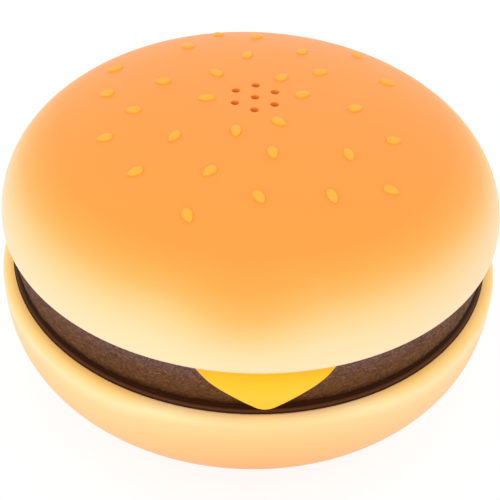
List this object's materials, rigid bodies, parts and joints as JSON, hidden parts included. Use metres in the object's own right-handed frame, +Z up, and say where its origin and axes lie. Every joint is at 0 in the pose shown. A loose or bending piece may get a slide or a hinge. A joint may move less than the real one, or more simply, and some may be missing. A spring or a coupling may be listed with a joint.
{
  "type": "novelty telephone",
  "caption": "Corded telephone shaped like a hamburger: the upper bun hinges open at the rear over a dial keypad on the cheese slice, with earpiece in the lid and line socket at the back.",
  "frame": {"origin": "centre of the plane the four feet stand on", "axes": "+Z up, -Y towards the front (the cheese corner), +Y towards the hinge and line socket"},
  "size_m": [0.13, 0.13, 0.0797],
  "materials": {
    "bun_crust": "satin paint, toasted orange on the crown fading to cream at the rim",
    "bun_heel": "satin paint, cream in the middle and toasted at lip and underside",
    "patty_brown": "semi-gloss with a crinkled surface",
    "cheese_yellow": "glossy",
    "seed_yellow": "glossy",
    "panel_cream": "satin moulded plastic",
    "key_cream": "satin",
    "silicone_grey": "matt",
    "board_green": "solder mask",
    "part_black": "moulded",
    "capacitor_blue": "sleeve",
    "metal_grey": "bare",
    "contact_gold": "plated",
    "steel": "zinc plated",
    "spring_steel": "bright wire",
    "rubber_black": "matt",
    "lead_red": "insulation",
    "knob_brown": "semi-gloss"
  },
  "bodies": {
    "base": {"lower_bun": "bun_heel", "patty": "patty_brown", "cheese_slice": "cheese_yellow", "key_mat": "silicone_grey", "main_board": "board_green", "dial_chip": "part_black", "capacitors": "capacitor_blue", "microphone": "metal_grey", "mic_boot": "rubber_black", "line_jack": "part_black", "jack_contacts": "contact_gold", "hook_switch": "part_black", "hook_spring": "spring_steel", "ringer_switch": "part_black", "tone_switch": "part_black", "base_screws": "steel", "board_screws": "steel", "feet": "rubber_black", "lid_bumpers": "rubber_black", "base_leads": "lead_red", "hinge_pins": "steel"},
    "lid": {"top_bun": "bun_crust", "sesame_seeds": "seed_yellow", "earpiece_panel": "panel_cream", "ear_speaker": "metal_grey", "speaker_gasket": "rubber_black", "ringer": "part_black", "lid_screws": "steel", "lid_leads": "lead_red"},
    "hook_plunger": {"hook_plunger": "key_cream"},
    "ringer_knob": {"ringer_knob": "knob_brown"},
    "tone_knob": {"tone_knob": "knob_brown"},
    "key_1": {"key_1": "key_cream"},
    "key_2": {"key_2": "key_cream"},
    "key_3": {"key_3": "key_cream"},
    "key_4": {"key_4": "key_cream"},
    "key_5": {"key_5": "key_cream"},
    "key_6": {"key_6": "key_cream"},
    "key_7": {"key_7": "key_cream"},
    "key_8": {"key_8": "key_cream"},
    "key_9": {"key_9": "key_cream"},
    "key_star": {"key_star": "key_cream"},
    "key_0": {"key_0": "key_cream"},
    "key_hash": {"key_hash": "key_cream"},
    "key_flash": {"key_flash": "key_cream"},
    "key_redial": {"key_redial": "key_cream"}
  },
  "joints": [
    {"name": "lid_hinge", "type": "hinge", "parent": "base", "child": "lid", "pos_m": [0, 0.0585, 0.044], "axis": [-1, 0, 0], "range_deg": [0, 115]},
    {"name": "hook_slide", "type": "slide", "parent": "base", "child": "hook_plunger", "axis": [0, 0, 1], "range_m": [0, 0.0025], "deforming": ["hook_spring"]},
    {"name": "ringer_slide", "type": "slide", "parent": "base", "child": "ringer_knob", "axis": [1, 0, 0], "range_m": [0, 0.004]},
    {"name": "tone_slide", "type": "slide", "parent": "base", "child": "tone_knob", "axis": [1, 0, 0], "range_m": [0, 0.004]},
    {"name": "key_1_press", "type": "slide", "parent": "base", "child": "key_1", "axis": [0, 0, -1], "range_m": [0, 0.0012], "stiffness_N_per_m": 600},
    {"name": "key_2_press", "type": "slide", "parent": "base", "child": "key_2", "axis": [0, 0, -1], "range_m": [0, 0.0012], "stiffness_N_per_m": 600},
    {"name": "key_3_press", "type": "slide", "parent": "base", "child": "key_3", "axis": [0, 0, -1], "range_m": [0, 0.0012], "stiffness_N_per_m": 600},
    {"name": "key_4_press", "type": "slide", "parent": "base", "child": "key_4", "axis": [0, 0, -1], "range_m": [0, 0.0012], "stiffness_N_per_m": 600},
    {"name": "key_5_press", "type": "slide", "parent": "base", "child": "key_5", "axis": [0, 0, -1], "range_m": [0, 0.0012], "stiffness_N_per_m": 600},
    {"name": "key_6_press", "type": "slide", "parent": "base", "child": "key_6", "axis": [0, 0, -1], "range_m": [0, 0.0012], "stiffness_N_per_m": 600},
    {"name": "key_7_press", "type": "slide", "parent": "base", "child": "key_7", "axis": [0, 0, -1], "range_m": [0, 0.0012], "stiffness_N_per_m": 600},
    {"name": "key_8_press", "type": "slide", "parent": "base", "child": "key_8", "axis": [0, 0, -1], "range_m": [0, 0.0012], "stiffness_N_per_m": 600},
    {"name": "key_9_press", "type": "slide", "parent": "base", "child": "key_9", "axis": [0, 0, -1], "range_m": [0, 0.0012], "stiffness_N_per_m": 600},
    {"name": "key_star_press", "type": "slide", "parent": "base", "child": "key_star", "axis": [0, 0, -1], "range_m": [0, 0.0012], "stiffness_N_per_m": 600},
    {"name": "key_0_press", "type": "slide", "parent": "base", "child": "key_0", "axis": [0, 0, -1], "range_m": [0, 0.0012], "stiffness_N_per_m": 600},
    {"name": "key_hash_press", "type": "slide", "parent": "base", "child": "key_hash", "axis": [0, 0, -1], "range_m": [0, 0.0012], "stiffness_N_per_m": 600},
    {"name": "key_flash_press", "type": "slide", "parent": "base", "child": "key_flash", "axis": [0, 0, -1], "range_m": [0, 0.0012], "stiffness_N_per_m": 600},
    {"name": "key_redial_press", "type": "slide", "parent": "base", "child": "key_redial", "axis": [0, 0, -1], "range_m": [0, 0.0012], "stiffness_N_per_m": 600}
  ],
  "couplings": [
    {"joint": "hook_slide", "follows": "lid_hinge", "m_per_rad": 0.0012456}
  ]
}
